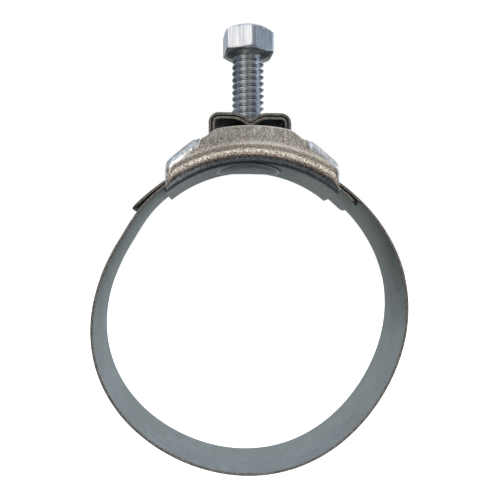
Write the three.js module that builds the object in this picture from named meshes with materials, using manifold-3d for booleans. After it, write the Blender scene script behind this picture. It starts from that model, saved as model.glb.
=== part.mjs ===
// Tower hose clamp: a steel strap wound round a hose, a pressed saddle under the screw, and a
// hex screw that climbs the strap's double tower and draws the loop tight.
//
// Millimetres, +Z up. The origin lies on the screw's axis, at the height of the loop's centre and
// halfway across the strap. +Y is the axis of the hose, and +Z points out along the screw.

import * as THREE from "three";
import { mergeVertices } from "three/addons/utils/BufferGeometryUtils.js";
import Module from "manifold-3d";

// Strap
const STRAP_WIDTH = 12.7;
const STRAP_THICKNESS = 0.5;
const LAYER_GAP = 0.15; // between two pieces of sheet that lie on each other
const LOOP_RADIUS = 29.75; // to the middle of the sheet
const LOOP_CENTRE_X = 0.6;
// The relaxed loop isn't a true circle: each swell pushes it out where its lobes point.
const LOOP_SWELLS = [
  { lobes: 2, height: 0.577, at: 50.5 },
  { lobes: 3, height: 0.238, at: -33.6 },
  { lobes: 4, height: 0.328, at: 12.8 },
];
const TAB_END_ANGLE = { inner: 48.8, outer: -52.6 }; // degrees from the screw, round the saddle's arc
const TAB_CORNER = 3;
const TAB_TRAVEL_ANGLE = 12.5; // room that a tab needs ahead of it, to be drawn in

// Saddle
const SADDLE_SHEET = 0.8;
const FLOOR_RADIUS = 25.7; // underside of the floor, which meets the hose
const FLOOR_TOP_Z = 28.75; // underside of the floor, on the screw's axis
const SADDLE_HALF_LENGTH = 16.2;
const FLOOR_FLAT_HALF = 5.75; // from the middle to where the floor starts to roll up
const ROLL_RADIUS = 2.3; // the bends' radii, to the middle of the sheet
const FOLD_RADIUS = 1.4;
const WALL_HEIGHT = { centre: 6.95, shoulder: 5.7, flap: 6.3, end: 4.7 }; // above the floor's underside
const WALL_STATION = { centre: 6.6, shoulder: 9.6, flap: 11.4 }; // distances from the screw's axis
const FLAP_LENGTH = 3.2;
const SEAT_DEPTH = 0.5; // a shallow cup pressed into the floor under the screw's tip
const SEAT_FLAT_RADIUS = 3;
const SEAT_RADIUS = 6.4;

// Tower
const TOWER_HALF_WIDTH = 7.85;
const TOWER_TOP_Z = 38.55;
const TOWER_CORNER = 1.7;
const TOWER_PITCH = STRAP_THICKNESS + 0.25; // from one layer to the next
const GROOVE_HALF_WIDTH = 3.3;
const GROOVE_DEPTH = 1.5;
const LEG_FOOT_GAP = 0.3;

// Screw, 1/4-20 UNC
const THREAD_RADIUS = 3.175;
const THREAD_PITCH = 1.27;
const THREAD_DEPTH = 0.72;
const SCREW_LENGTH = 22.225;
const HEAD_SEAT_Z = 51.55;
const HEAD_HEIGHT = 4.8;
const HEAD_ACROSS_FLATS = 9.525;
const HEAD_CORNER_ANGLE = -83.2; // degrees, of one corner of the hexagon
const HEAD_CHAMFER = 0.9; // across the corners, at the top
const HEAD_CHAMFER_HEIGHT = 0.6;
const COLLAR_RADIUS = 4.3; // the washer face under the head, which tapers into the shank
const COLLAR_HEIGHT = 0.45;
const TIP_CHAMFER = 0.9;
const CREST_Z = 49.88; // height of a crest at +X, which sets where the thread starts
const HOLE_CLEARANCE = 0.12;

const wasm = await Module();
wasm.setup();

const rad = THREE.MathUtils.degToRad;
const FLOOR_CENTRE_Z = FLOOR_TOP_Z - FLOOR_RADIUS;
// Middles of the two strap layers in the saddle, from the centre of the floor's arc.
const LAYER_PITCH = STRAP_THICKNESS + LAYER_GAP;
const LOWER_LAYER = FLOOR_RADIUS + SADDLE_SHEET + LAYER_GAP + STRAP_THICKNESS / 2;
const UPPER_LAYER = LOWER_LAYER + LAYER_PITCH;

function ramp(value, from, to) {
  const t = Math.min(Math.max((value - from) / (to - from), 0), 1);
  return t * t * (3 - 2 * t);
}

function solid(geometry) {
  const bare = geometry.clone();
  bare.deleteAttribute("normal");
  bare.deleteAttribute("uv");
  const merged = mergeVertices(bare, 1e-4);
  return new wasm.Manifold(
    new wasm.Mesh({
      numProp: 3,
      vertProperties: new Float32Array(merged.attributes.position.array),
      triVerts: new Uint32Array(merged.index.array),
    }),
  );
}

function geometryOf(body) {
  const mesh = body.getMesh();
  const geometry = new THREE.BufferGeometry();
  geometry.setAttribute("position", new THREE.BufferAttribute(mesh.vertProperties, mesh.numProp));
  geometry.setIndex(new THREE.BufferAttribute(mesh.triVerts, 1));
  geometry.computeVertexNormals();
  return geometry;
}

// An outline in the XZ plane, extruded along Y and centred on it.
function extrudeAlongY(outline, width) {
  const geometry = new THREE.ExtrudeGeometry(new THREE.Shape(outline), {
    depth: width,
    bevelEnabled: false,
  });
  return geometry.rotateX(Math.PI / 2).translate(0, width / 2, 0);
}

// The outline of a sheet whose middle follows the path.
function sheetOutline(path, thickness) {
  const side = (sign) =>
    path.map((point, i) => {
      const before = path[Math.max(i - 1, 0)];
      const after = path[Math.min(i + 1, path.length - 1)];
      const along = new THREE.Vector2().subVectors(after, before).normalize();
      const across = new THREE.Vector2(-along.y, along.x);
      return point.clone().addScaledVector(across, (sign * thickness) / 2);
    });
  return [...side(1), ...side(-1).reverse()];
}

// A point at an angle from the screw's axis, on a circle about the centre of the floor's arc.
function onSaddleArc(radius, degrees) {
  const angle = rad(degrees);
  return new THREE.Vector2(radius * Math.sin(angle), FLOOR_CENTRE_Z + radius * Math.cos(angle));
}

// ---- Strap ----

// Radius of the loop about its own centre, at an angle from +X.
function loopRadius(degrees) {
  return LOOP_SWELLS.reduce(
    (sum, swell) => sum + swell.height * Math.cos(rad(swell.lobes * (degrees - swell.at))),
    LOOP_RADIUS,
  );
}

// Distance from the loop's centre to a layer in the saddle, at the same angle.
function layerRadius(layer, degrees) {
  const direction = new THREE.Vector2(Math.cos(rad(degrees)), Math.sin(rad(degrees)));
  const toArc = new THREE.Vector2(-LOOP_CENTRE_X, FLOOR_CENTRE_Z);
  const along = direction.dot(toArc);
  return along + Math.sqrt(along * along - toArc.lengthSq() + layer * layer);
}

// The band leaves the saddle on the left in the lower layer, goes round the hose and comes back in
// on the right in the upper layer.
function loopPath() {
  const from = 104;
  const to = 435;
  const steps = 104;
  return Array.from({ length: steps + 1 }, (_, i) => {
    const degrees = from + ((to - from) * i) / steps;
    const leaving = 1 - ramp(degrees, 123, 150);
    const entering = ramp(degrees, 360 + 36, 360 + 56);
    const radius =
      (1 - leaving - entering) * loopRadius(degrees) +
      leaving * layerRadius(LOWER_LAYER, degrees) +
      entering * layerRadius(UPPER_LAYER, degrees);
    return new THREE.Vector2(
      LOOP_CENTRE_X + radius * Math.cos(rad(degrees)),
      radius * Math.sin(rad(degrees)),
    );
  });
}

function strapLoop() {
  return extrudeAlongY(sheetOutline(loopPath(), STRAP_THICKNESS), STRAP_WIDTH);
}

// Plan of a tab: a strip along X with its two outer corners rounded.
function tabPlan(side, tip) {
  const half = STRAP_WIDTH / 2;
  const plan = new THREE.Shape();
  plan.moveTo(0, -half - 1);
  plan.lineTo(0, half + 1);
  plan.lineTo(side * (tip - TAB_CORNER), half + 1);
  plan.lineTo(side * (tip - TAB_CORNER), half);
  plan.absarc(
    side * (tip - TAB_CORNER),
    half - TAB_CORNER,
    TAB_CORNER,
    Math.PI / 2,
    side > 0 ? 0 : Math.PI,
    side > 0,
  );
  plan.absarc(
    side * (tip - TAB_CORNER),
    TAB_CORNER - half,
    TAB_CORNER,
    side > 0 ? 0 : Math.PI,
    side > 0 ? -Math.PI / 2 : Math.PI * 1.5,
    side > 0,
  );
  plan.lineTo(side * (tip - TAB_CORNER), -half - 1);
  const geometry = new THREE.ExtrudeGeometry(plan, {
    depth: 2 * LOOP_RADIUS,
    bevelEnabled: false,
    curveSegments: 5,
  });
  return geometry;
}

// One free end of the strap. It follows the saddle's arc, so it slides along itself.
function strapTab(layer, endAngle) {
  const side = Math.sign(endAngle);
  const footAngle = side * (16.8 + TAB_TRAVEL_ANGLE);
  const steps = 12;
  const path = Array.from({ length: steps + 1 }, (_, i) =>
    onSaddleArc(layer, footAngle + ((endAngle - footAngle) * i) / steps),
  );
  const strip = solid(extrudeAlongY(sheetOutline(path, STRAP_THICKNESS), STRAP_WIDTH));
  const tip = Math.abs(path[steps].x);
  return geometryOf(strip.intersect(solid(tabPlan(side, tip))));
}

// How far the V groove across the tower's top dips, at a distance from the screw's axis.
function grooveDip(x) {
  const u = Math.min(Math.abs(x) / GROOVE_HALF_WIDTH, 1);
  return GROOVE_DEPTH * (1 - Math.sin((u * Math.PI) / 2));
}

// One layer of the tower: up one leg, across the grooved top, and down the other leg.
function towerLayer(inset, footLayer) {
  const halfWidth = TOWER_HALF_WIDTH - STRAP_THICKNESS / 2 - inset;
  const top = TOWER_TOP_Z - STRAP_THICKNESS / 2 - inset;
  const corner = TOWER_CORNER - inset;
  const under = footLayer + STRAP_THICKNESS / 2;
  const foot = FLOOR_CENTRE_Z + Math.sqrt(under * under - halfWidth * halfWidth) + LEG_FOOT_GAP;
  const half = [];
  const grooveSteps = 6;
  const cornerSteps = 5;
  for (let i = 0; i <= grooveSteps; i++) {
    const x = (GROOVE_HALF_WIDTH * i) / grooveSteps;
    half.push(new THREE.Vector2(x, top - grooveDip(x)));
  }
  for (let i = 0; i <= cornerSteps; i++) {
    const angle = (Math.PI / 2) * (1 - i / cornerSteps);
    half.push(
      new THREE.Vector2(
        halfWidth - corner + corner * Math.cos(angle),
        top - corner + corner * Math.sin(angle),
      ),
    );
  }
  half.push(new THREE.Vector2(halfWidth, foot));
  const mirrored = half.slice(1).map((p) => new THREE.Vector2(-p.x, p.y));
  const path = [...mirrored.reverse(), ...half];
  const plate = solid(extrudeAlongY(sheetOutline(path, STRAP_THICKNESS), STRAP_WIDTH));
  const drill = new THREE.CylinderGeometry(
    THREAD_RADIUS + HOLE_CLEARANCE,
    THREAD_RADIUS + HOLE_CLEARANCE,
    8,
    32,
  );
  drill.rotateX(Math.PI / 2).translate(0, 0, TOWER_TOP_Z);
  return geometryOf(plate.subtract(solid(drill)));
}

// ---- Saddle ----

// Height of the wall or of the folded flap above the floor's underside, at a station along X.
function wallHeight(x) {
  const d = Math.abs(x);
  const h = WALL_HEIGHT;
  const s = WALL_STATION;
  return (
    h.centre +
    (h.shoulder - h.centre) * ramp(d, s.centre, s.shoulder) +
    (h.flap - h.shoulder) * ramp(d, s.shoulder, s.flap) +
    ((h.end - h.flap) * Math.max(d - s.flap, 0)) / (SADDLE_HALF_LENGTH - s.flap)
  );
}

// How far the cup under the screw's tip dips below the floor.
function seatDip(x, y) {
  return SEAT_DEPTH * (1 - ramp(Math.hypot(x, y), SEAT_FLAT_RADIUS, SEAT_RADIUS));
}

// Half of the sheet's cross-section at a station, from the middle of the floor outwards. Each point
// has its distance from the middle, its height, and the direction that the sheet's outer side faces.
function saddleSection(x) {
  const folded = ramp(Math.abs(x), WALL_STATION.shoulder - 1, WALL_STATION.flap);
  const foldAngle = rad(5 + 85 * folded);
  const flap = 0.2 + (FLAP_LENGTH - 0.2) * folded;
  const middle = SADDLE_SHEET / 2;
  const points = [];
  let y = FLOOR_FLAT_HALF;
  let height = middle;
  let heading = 0;
  const mark = () => points.push({ y, height, heading });
  const run = (length, steps) => {
    for (let i = 0; i < steps; i++) {
      y += (length / steps) * Math.cos(heading);
      height += (length / steps) * Math.sin(heading);
      mark();
    }
  };
  const bend = (radius, angle, steps) => {
    const chord = 2 * radius * Math.sin(angle / steps / 2);
    for (let i = 0; i < steps; i++) {
      heading += angle / steps / 2;
      y += chord * Math.cos(heading);
      height += chord * Math.sin(heading);
      heading += angle / steps / 2;
      mark();
    }
  };
  const floorSteps = 4;
  for (let i = 0; i <= floorSteps; i++)
    points.push({ y: (FLOOR_FLAT_HALF * i) / floorSteps, height: middle, heading: 0 });
  bend(ROLL_RADIUS, Math.PI / 2, 6);
  const foldRise = FOLD_RADIUS * Math.sin(foldAngle) + flap * Math.cos(foldAngle);
  const topOfSheet = wallHeight(x) - middle * Math.sin(foldAngle);
  run(topOfSheet - height - foldRise, 2);
  bend(FOLD_RADIUS, foldAngle, 4);
  run(flap, 1);
  return points;
}

function saddleBody() {
  const stations = 32;
  const rows = [];
  for (let i = 0; i <= stations; i++) {
    const x = SADDLE_HALF_LENGTH * ((2 * i) / stations - 1);
    const half = saddleSection(x);
    const row = [...half.slice(1).reverse().map((p) => ({ ...p, mirror: -1 })), ...half];
    rows.push(
      [1, -1].map((face) =>
        row.map((p) => {
          const side = p.mirror ?? 1;
          const reach = (face * SADDLE_SHEET) / 2;
          const y = side * (p.y + reach * Math.sin(p.heading));
          const height = p.height - reach * Math.cos(p.heading) - seatDip(x, p.y);
          const radius = FLOOR_RADIUS + height;
          return new THREE.Vector3(x, y, FLOOR_CENTRE_Z + Math.sqrt(radius * radius - x * x));
        }),
      ),
    );
  }
  const positions = [];
  const quad = (a, b, c, d) => {
    for (const v of [a, b, c, a, c, d]) positions.push(v.x, v.y, v.z);
  };
  const last = rows[0][0].length - 1;
  rows.forEach(([under, over], i) => {
    if (i === stations) return;
    const [nextUnder, nextOver] = rows[i + 1];
    for (let j = 0; j < last; j++) {
      quad(under[j], under[j + 1], nextUnder[j + 1], nextUnder[j]);
      quad(over[j], nextOver[j], nextOver[j + 1], over[j + 1]);
    }
    quad(under[0], nextUnder[0], nextOver[0], over[0]);
    quad(under[last], over[last], nextOver[last], nextUnder[last]);
  });
  for (let j = 0; j < last; j++) {
    const [under, over] = rows[0];
    quad(under[j], over[j], over[j + 1], under[j + 1]);
    const [endUnder, endOver] = rows[stations];
    quad(endUnder[j], endUnder[j + 1], endOver[j + 1], endOver[j]);
  }
  const geometry = new THREE.BufferGeometry();
  geometry.setAttribute("position", new THREE.Float32BufferAttribute(positions, 3));
  const merged = mergeVertices(geometry, 1e-4);
  merged.computeVertexNormals();
  return merged;
}

// ---- Screw ----

// A rod with a right-hand thread, longer than the shank at both ends.
function threadedRod(bottom, top) {
  const around = 24;
  // Where the corners of the thread's section stand in one pitch, from the middle of a crest.
  const profile = [
    { at: -0.08, radius: THREAD_RADIUS },
    { at: 0.08, radius: THREAD_RADIUS },
    { at: 0.5, radius: THREAD_RADIUS - THREAD_DEPTH },
  ];
  const first = Math.floor((bottom - CREST_Z) / THREAD_PITCH) - 2;
  const turns = Math.ceil((top - bottom) / THREAD_PITCH) + 3;
  const rings = [];
  for (let turn = 0; turn < turns; turn++)
    for (const corner of profile) rings.push({ at: first + turn + corner.at, radius: corner.radius });
  const point = (ring, i) => {
    const angle = (2 * Math.PI * i) / around;
    const z = CREST_Z + THREAD_PITCH * (ring.at + i / around);
    return new THREE.Vector3(ring.radius * Math.cos(angle), ring.radius * Math.sin(angle), z);
  };
  const positions = [];
  const triangle = (...corners) => corners.forEach((v) => positions.push(v.x, v.y, v.z));
  // One turn round, a ring's end meets the start of the ring one pitch higher.
  const perTurn = profile.length;
  for (let j = 0; j + 1 + perTurn < rings.length; j++)
    for (let i = 0; i < around; i++) {
      const wrap = i + 1 === around;
      const a = point(rings[j], i);
      const b = wrap ? point(rings[j + perTurn], 0) : point(rings[j], i + 1);
      const c = wrap ? point(rings[j + 1 + perTurn], 0) : point(rings[j + 1], i + 1);
      const d = point(rings[j + 1], i);
      triangle(a, b, c);
      triangle(a, c, d);
    }
  // Each end is a fan from the axis, stepped where the thread comes round.
  const cap = (startRing, facesUp) => {
    const axis = new THREE.Vector3(0, 0, point(rings[startRing], 0).z + THREAD_PITCH / 2);
    const rim = [];
    for (let i = 0; i < around; i++) rim.push(point(rings[startRing], i));
    for (let k = 0; k <= perTurn; k++) rim.push(point(rings[startRing + perTurn - k], 0));
    rim.forEach((v, i) => {
      if (i + 1 === rim.length) return;
      if (facesUp) triangle(axis, v, rim[i + 1]);
      else triangle(axis, rim[i + 1], v);
    });
  };
  cap(0, false);
  cap(rings.length - 1 - perTurn, true);
  const geometry = new THREE.BufferGeometry();
  geometry.setAttribute("position", new THREE.Float32BufferAttribute(positions, 3));
  return solid(geometry);
}

function lathe(profile, segments) {
  const geometry = new THREE.LatheGeometry(
    profile.map(([radius, z]) => new THREE.Vector2(radius, z)),
    segments,
  );
  return solid(geometry.rotateX(Math.PI / 2));
}

function screwBody() {
  const tip = HEAD_SEAT_Z - SCREW_LENGTH;
  const top = HEAD_SEAT_Z + HEAD_HEIGHT;
  const corner = HEAD_ACROSS_FLATS / Math.sqrt(3);
  const envelope = lathe(
    [
      [0, tip],
      [THREAD_RADIUS - TIP_CHAMFER, tip],
      [THREAD_RADIUS + 0.01, tip + TIP_CHAMFER],
      [THREAD_RADIUS + 0.01, HEAD_SEAT_Z + 1],
      [0, HEAD_SEAT_Z + 1],
    ],
    48,
  );
  const shank = threadedRod(tip - 1, HEAD_SEAT_Z + 2).intersect(envelope);
  const collar = lathe(
    [
      [0, HEAD_SEAT_Z - COLLAR_HEIGHT],
      [THREAD_RADIUS, HEAD_SEAT_Z - COLLAR_HEIGHT],
      [COLLAR_RADIUS, HEAD_SEAT_Z],
      [COLLAR_RADIUS, HEAD_SEAT_Z + 0.5],
      [0, HEAD_SEAT_Z + 0.5],
    ],
    32,
  );
  const hexagon = new THREE.CylinderGeometry(corner, corner, HEAD_HEIGHT, 6);
  hexagon.rotateX(Math.PI / 2).rotateZ(rad(HEAD_CORNER_ANGLE) - Math.PI / 2);
  hexagon.translate(0, 0, HEAD_SEAT_Z + HEAD_HEIGHT / 2);
  const chamfers = lathe(
    [
      [0, HEAD_SEAT_Z],
      [HEAD_ACROSS_FLATS / 2, HEAD_SEAT_Z],
      [corner + 0.05, HEAD_SEAT_Z + HEAD_CHAMFER_HEIGHT],
      [corner + 0.05, top - HEAD_CHAMFER_HEIGHT],
      [corner - HEAD_CHAMFER, top],
      [0, top],
    ],
    48,
  );
  const head = solid(hexagon).intersect(chamfers);
  return geometryOf(shank.add(collar).add(head));
}

// ---- Assembly ----

function material(color, roughness) {
  return new THREE.MeshStandardMaterial({ color, roughness, metalness: 1 });
}

const STRAP_STEEL = material(0x8b9593, 0.45);
const TOWER_STEEL = material(0x79766c, 0.42);
const SADDLE_STEEL = material(0xa9a59c, 0.32);
const SCREW_STEEL = material(0xa7b0ba, 0.28);

function part(name, geometry, steel) {
  const mesh = new THREE.Mesh(geometry, steel);
  mesh.name = name;
  return mesh;
}

const clamp = new THREE.Group();

const tower = new THREE.Group();
tower.add(
  part("strap_tower_inner", towerLayer(TOWER_PITCH, LOWER_LAYER), TOWER_STEEL),
  part("strap_tower_outer", towerLayer(0, UPPER_LAYER), TOWER_STEEL),
);

clamp.add(
  part("saddle", saddleBody(), SADDLE_STEEL),
  part("strap_loop", strapLoop(), STRAP_STEEL),
  part("strap_inner_tab", strapTab(LOWER_LAYER, TAB_END_ANGLE.inner), STRAP_STEEL),
  part("strap_outer_tab", strapTab(UPPER_LAYER, TAB_END_ANGLE.outer), STRAP_STEEL),
  tower,
  part("screw", screwBody(), SCREW_STEEL),
);

export default clamp;
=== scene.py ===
"""Tower hose clamp: the looks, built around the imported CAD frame.

Sizes are in millimetres until mesh_object() turns them into metres. The loop lies in the XZ plane,
the hose runs along Y, and the screw stands along Z.
"""

import math

import bmesh
import bpy
import numpy as np
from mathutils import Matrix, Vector


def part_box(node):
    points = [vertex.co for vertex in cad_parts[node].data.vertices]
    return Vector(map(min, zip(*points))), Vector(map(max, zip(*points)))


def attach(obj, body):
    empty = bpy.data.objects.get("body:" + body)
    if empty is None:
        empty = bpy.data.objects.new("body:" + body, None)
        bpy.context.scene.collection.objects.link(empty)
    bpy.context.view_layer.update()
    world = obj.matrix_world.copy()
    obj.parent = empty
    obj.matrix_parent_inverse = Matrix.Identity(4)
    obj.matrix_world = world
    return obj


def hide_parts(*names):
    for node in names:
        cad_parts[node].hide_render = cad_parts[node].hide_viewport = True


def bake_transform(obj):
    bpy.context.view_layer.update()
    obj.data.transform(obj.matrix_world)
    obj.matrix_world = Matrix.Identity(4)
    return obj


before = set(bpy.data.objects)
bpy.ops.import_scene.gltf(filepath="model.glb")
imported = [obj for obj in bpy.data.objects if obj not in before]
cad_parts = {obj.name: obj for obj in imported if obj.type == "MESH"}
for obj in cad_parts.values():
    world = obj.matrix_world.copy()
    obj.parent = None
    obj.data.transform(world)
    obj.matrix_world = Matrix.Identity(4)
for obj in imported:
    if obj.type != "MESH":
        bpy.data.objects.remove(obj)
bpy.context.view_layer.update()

MM = 0.001


def span(node):
    """Lowest and highest corner of a CAD node, in millimetres."""
    low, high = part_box(node)
    return Vector(low) / MM, Vector(high) / MM


# ---- Sizes ----

LOOP_LOW, LOOP_HIGH = span("strap_loop")
_, SADDLE_HIGH = span("saddle")
_, TOWER_HIGH = span("strap_tower_outer")
SCREW_LOW, SCREW_HIGH = span("screw")

STRAP_WIDTH = LOOP_HIGH.y - LOOP_LOW.y
STRAP_THICKNESS = 0.5
STRAP_EDGE = 0.11  # radius of the strap's worn edges
LAYER_GAP = 0.15
LOOP_RADIUS = 29.74  # to the middle of the sheet
LOOP_CENTRE_X = 0.6
LOOP_SWELLS = ((2, 0.577, 50.5), (3, 0.238, -33.6), (4, 0.328, 12.8))  # lobes, height, degrees
# Degrees round the loop, from +X. The band starts and ends under the saddle, and goes over from the
# saddle's arc to the loop and back.
BAND_START, BAND_END = 104, 435
LEAVING_SADDLE = 123, 150
ENTERING_SADDLE = 390, 418
# Degrees round the saddle's arc, from its middle.
TOWER_FOOT_ANGLE = 16.8
TAB_TRAVEL_ANGLE = 12.5
INNER_TAB_END, OUTER_TAB_END = 48.4, -53.2
BOW_START = 33
LOOP_BOW, INNER_TAB_BOW, OUTER_TAB_BOW = 0.0014, 0.0004, 0.0016  # millimetres per square degree
TAB_CORNER = 1.7

SHEET = 0.8  # the saddle's thickness
FLOOR_RADIUS = 25.7  # underside of the floor
FLOOR_CROWN_Z = 28.95  # underside of the floor, at the saddle's middle
FLOOR_CENTRE_Z = FLOOR_CROWN_Z - FLOOR_RADIUS
SADDLE_SHIFT = 0.55  # how far the saddle sits to the side of the screw, within its play
SADDLE_HALF_LENGTH = SADDLE_HIGH.x + 0.2
ROLL_RADIUS = 2.3
FOLD_RADIUS = 2.2
FLOOR_FLAT_HALF = SADDLE_HIGH.y - ROLL_RADIUS - SHEET / 2
WALL_CENTRE, WALL_SHOULDER, WALL_FLAP, WALL_END = 7.1, 6.05, 6.3, 4.7
STATION_CENTRE, STATION_SHOULDER, STATION_FLAP = 6.6, 9.6, 11.4
FLAP_LENGTH = 2.4
FLAP_START = 0.93  # how far the fold has closed where the flap starts to grow
FOLD_STATIONS = (9.6, 11.0)  # where the wall's top goes from upright to folded flat
UPRIGHT_FOLD = 8  # degrees that the wall's top turns in where it stands upright
WALL_LEAN = math.radians(7)  # how far the upright part of the wall leans in at its top
WALL_SHARES = (0.1, 0.3, 0.6)  # parts of the wall below the bend into its lean, in it and above it
END_ROUND = 1.3  # how far the walls turn in at the saddle's two ends
END_ROUND_LENGTH = 1.5
END_ROUND_HEIGHTS = (0.5, 2.5)  # heights between which the turn grows from nothing to its whole
RIM_HIGHLIGHT_REACH = 0.3  # how far the cut edge's brighter colour, a painted highlight along the rim, reaches down the wall
LIP = 0.2  # what stands past the fold where the wall is upright
SEAT_DEPTH, SEAT_FLAT_RADIUS, SEAT_RADIUS = 0.5, 3.0, 6.4
SEAT_STEP, SEAT_STEP_WIDTH = 0.17, 0.5  # the part of the seat's depth in its coined rim

LOWER_LAYER = FLOOR_RADIUS + SHEET + LAYER_GAP + STRAP_THICKNESS / 2
UPPER_LAYER = LOWER_LAYER + STRAP_THICKNESS + LAYER_GAP

TOWER_HALF_WIDTH = TOWER_HIGH.x
TOWER_TOP_Z = TOWER_HIGH.z
TOWER_CORNER = 1.7
TOWER_PITCH = STRAP_THICKNESS + 0.25
GROOVE_HALF_WIDTH, GROOVE_DEPTH = 3.3, 1.5
GROOVE_SOFTNESS = 0.25  # rounds the groove's bottom
LEG_FOOT_GAP = 0.3

THREAD_RADIUS = 3.175
THREAD_PITCH = 1.27
THREAD_DEPTH = 0.72
CREST_SHARE, FLANK_SHARE = 0.13, 0.72  # of half a pitch
HEAD_HEIGHT = 4.8
HEAD_SEAT_Z = SCREW_HIGH.z - HEAD_HEIGHT
ACROSS_FLATS = 9.525
HEAD_CORNER_ANGLE = -83.2  # degrees from +X to one corner of the hexagon
HEAD_SHARPNESS = 42  # the higher, the sharper the hexagon's corners
HEAD_CHAMFER_SLOPE = 0.62  # rise over run
COLLAR_RADIUS, COLLAR_HEIGHT = 4.3, 0.45
NECK_LENGTH = 0.7  # over which the thread runs out under the head
TIP_CHAMFER = 0.9
CREST_Z = 49.88  # height of a crest at +X
HOLE_RADIUS = THREAD_RADIUS + 0.12
HOLE_LIP = 0.3  # how far the plates are drawn down at the holes
BLOCK_HALF = 5.0  # half the square of each plate that is meshed round its hole


def ramp_linear(value, start, end):
    return min(max((value - start) / (end - start), 0.0), 1.0)


def ramp(value, start, end):
    t = ramp_linear(value, start, end)
    return t * t * (3 - 2 * t)


# ---- Meshes ----


def mesh_object(name, points, faces, rolled=None, edge_faces=(), sharp=35):
    """A mesh from points in millimetres. rolled holds each point's place on the flat sheet."""
    mesh = bpy.data.meshes.new(name)
    mesh.from_pydata([tuple(MM * c for c in p) for p in points], [], faces)
    if rolled is not None:
        place = mesh.attributes.new("rolled", "FLOAT_VECTOR", "POINT")
        place.data.foreach_set("vector", (MM * np.array(rolled, np.float32)).ravel())
    for index in edge_faces:
        mesh.polygons[index].material_index = 1
    mesh.validate()
    finish_mesh(mesh, sharp)
    obj = bpy.data.objects.new(name, mesh)
    bpy.context.scene.collection.objects.link(obj)
    return obj


def finish_mesh(mesh, sharp):
    """Merges doubled points, turns every face outward and smooths all but the sharp edges."""
    work = bmesh.new()
    work.from_mesh(mesh)
    bmesh.ops.remove_doubles(work, verts=work.verts, dist=2e-7)
    bmesh.ops.dissolve_degenerate(work, edges=work.edges, dist=1e-8)
    bmesh.ops.recalc_face_normals(work, faces=work.faces)
    work.to_mesh(mesh)
    work.free()
    mesh.polygons.foreach_set("use_smooth", [True] * len(mesh.polygons))
    mesh.set_sharp_from_angle(angle=math.radians(sharp))


def strip_section(half_width, thickness, edge):
    """Section of a strip with rounded edges, as (across, out) points."""
    steps = 3
    corners = ((1, 1, 0), (-1, 1, 90), (-1, -1, 180), (1, -1, 270))
    section = []
    for side, face, start in corners:
        for i in range(steps + 1):
            angle = math.radians(start + 90 * i / steps)
            across = side * (half_width - edge) + edge * math.cos(angle)
            out = face * (thickness / 2 - edge) + edge * math.sin(angle)
            section.append((across, out))
    return section


def strip(name, path, half_width_at):
    """A sheet strip whose middle follows path, (x, z) points. half_width_at gives its half width at
    a distance along it."""
    path = np.array(path, float)
    steps = np.linalg.norm(np.diff(path, axis=0), axis=1)
    along = np.concatenate([[0], np.cumsum(steps)])
    tangent = np.gradient(path, axis=0)
    tangent /= np.linalg.norm(tangent, axis=1)[:, None]
    normal = np.stack([-tangent[:, 1], tangent[:, 0]], 1)
    points, rolled, faces, edge_faces = [], [], [], []
    for i, (x, z) in enumerate(path):
        at_end = i in (0, len(path) - 1)
        inset = STRAP_EDGE * 0.7 if at_end else 0
        half_width = half_width_at(along[i], along[-1])
        section = strip_section(half_width, STRAP_THICKNESS - 2 * inset, STRAP_EDGE - inset * 0.5)
        for across, out in section:
            points.append((x + normal[i, 0] * out, across, z + normal[i, 1] * out))
            rolled.append((along[i], across, out))
    size = len(points) // len(path)
    per_corner = size // 4
    for i in range(len(path) - 1):
        for j in range(size):
            k = (j + 1) % size
            a, b = i * size, (i + 1) * size
            # The rolled edges and the flat between them are the strip's sheared edge.
            corner, within = divmod(j, per_corner)
            if within < per_corner - 1 or corner in (1, 3):
                edge_faces.append(len(faces))
            faces.append((a + j, a + k, b + k, b + j))
    for start in (0, (len(path) - 1) * size):
        edge_faces.append(len(faces))
        faces.append(tuple(range(start, start + size)))
    return mesh_object(name, points, faces, rolled, edge_faces)


def full_width(_along, _length):
    return STRAP_WIDTH / 2


def rounded_end(along, length):
    """Half width of a tab, with its two outer corners rounded."""
    left = length - along
    if left >= TAB_CORNER:
        return STRAP_WIDTH / 2
    reach = TAB_CORNER - left
    return STRAP_WIDTH / 2 - (TAB_CORNER - math.sqrt(max(TAB_CORNER**2 - reach**2, 0)))


# ---- Strap ----


def loop_radius(degrees):
    radius = LOOP_RADIUS
    for lobes, height, at in LOOP_SWELLS:
        radius += height * math.cos(math.radians(lobes * (degrees - at)))
    return radius


def bow(degrees, per_square_degree):
    """How far a layer stands off the saddle's arc near and past its end, where it runs straighter."""
    return per_square_degree * max(abs(degrees) - BOW_START, 0) ** 2


def layer_radius(layer, degrees):
    """Distance from the loop's centre to a strap layer in the saddle."""
    direction = Vector((math.cos(math.radians(degrees)), math.sin(math.radians(degrees))))
    to_arc = Vector((SADDLE_SHIFT - LOOP_CENTRE_X, FLOOR_CENTRE_Z))
    along = direction.dot(to_arc)
    radius = along + math.sqrt(along * along - to_arc.length_squared + layer * layer)
    off_arc = direction * radius - to_arc
    return radius + bow(math.degrees(math.atan2(off_arc.x, off_arc.y)), LOOP_BOW)


def loop_path(steps=420):
    path = []
    for degrees in np.linspace(BAND_START, BAND_END, steps + 1):
        leaving = 1 - ramp(degrees, *LEAVING_SADDLE)
        entering = ramp(degrees, *ENTERING_SADDLE)
        radius = (
            (1 - leaving - entering) * loop_radius(degrees)
            + leaving * layer_radius(LOWER_LAYER, degrees)
            + entering * layer_radius(UPPER_LAYER, degrees)
        )
        angle = math.radians(degrees)
        path.append((LOOP_CENTRE_X + radius * math.cos(angle), radius * math.sin(angle)))
    return path


def on_saddle_arc(layer, degrees, per_square_degree):
    angle = math.radians(degrees)
    radius = layer + bow(degrees, per_square_degree)
    return SADDLE_SHIFT + radius * math.sin(angle), FLOOR_CENTRE_Z + radius * math.cos(angle)


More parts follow.
